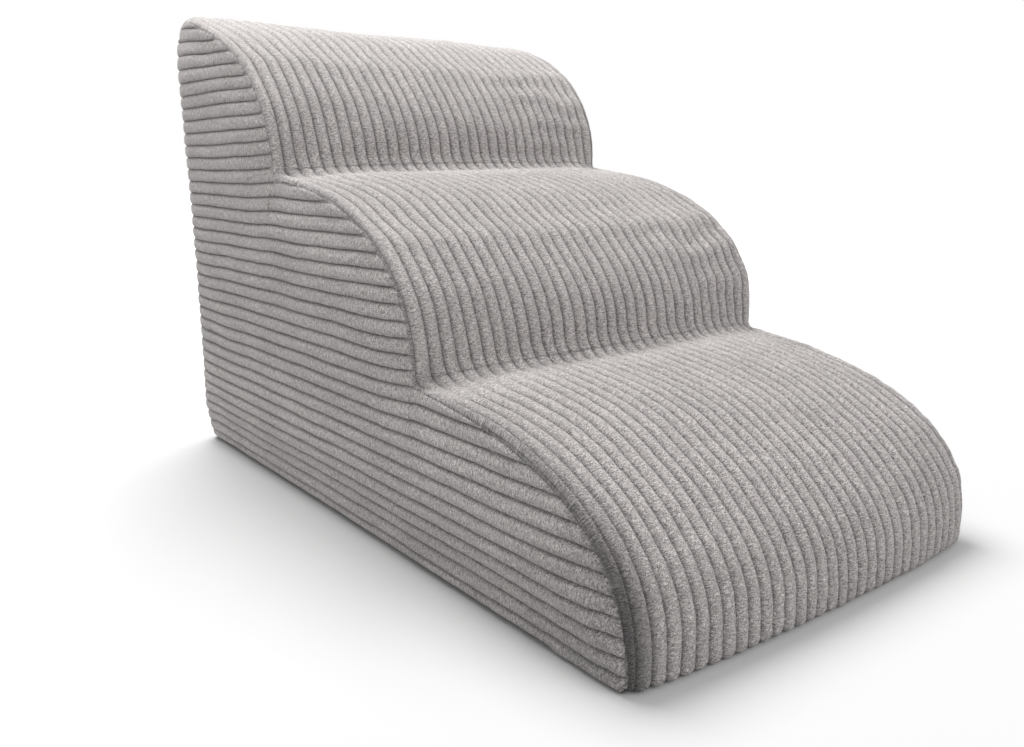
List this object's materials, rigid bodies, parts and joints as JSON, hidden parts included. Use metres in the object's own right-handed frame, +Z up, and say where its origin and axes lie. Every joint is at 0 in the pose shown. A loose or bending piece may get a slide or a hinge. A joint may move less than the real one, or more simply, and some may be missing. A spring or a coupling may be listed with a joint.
{
  "type": "pet stairs",
  "caption": "Three-step foam pet stairs with rounded wave-shaped steps in a removable corduroy cover, zipped round the foot of the sides and back.",
  "frame": {"origin": "middle of the underside, on the surface the stairs stand on", "axes": "+Y from the front of the lowest step towards the tall back, +X across the steps to the right seen from the front, +Z up"},
  "size_m": [0.35, 0.6, 0.4],
  "materials": {
    "corduroy": "wide-wale corduroy, light warm grey, about 10.8 mm from rib to rib",
    "grip_fabric": "dark woven fabric with soft grip dots",
    "foam": "open-cell polyurethane foam, cut",
    "sewing_thread": "spun polyester thread",
    "zip_tape": "woven polyester herringbone tape",
    "zip_coil": "polyester coil",
    "zip_stop": "moulded stop",
    "slider_metal": "lacquered zinc, dark bronze-grey",
    "label_satin": "white satin, blank"
  },
  "bodies": {
    "root": {"foam_core": "foam", "step_panel": "corduroy", "wrap_panel": "corduroy", "base_panel": "grip_fabric", "left_seam_thread": "sewing_thread", "right_seam_thread": "sewing_thread", "top_seam_thread": "sewing_thread", "front_seam_thread": "sewing_thread", "outer_zip_tape": "zip_tape", "inner_zip_tape": "zip_tape", "outer_zip_coil": "zip_coil", "inner_zip_coil": "zip_coil", "outer_zip_stitching": "sewing_thread", "inner_zip_stitching": "sewing_thread", "top_stops": "zip_stop", "bottom_stop": "zip_stop", "care_label": "label_satin"},
    "slider": {"slider_body": "slider_metal"},
    "tab": {"pull_tab": "slider_metal"}
  },
  "joints": [
    {"name": "zipper_slide", "type": "slide", "parent": "root", "child": "slider", "axis": [0, 1, 0], "range_m": [0, 0.48]},
    {"name": "tab_swing", "type": "hinge", "parent": "slider", "child": "tab", "pos_m": [-0.166, -0.2284, 0.0019], "axis": [0, 0, 1], "range_deg": [0, 75]}
  ]
}
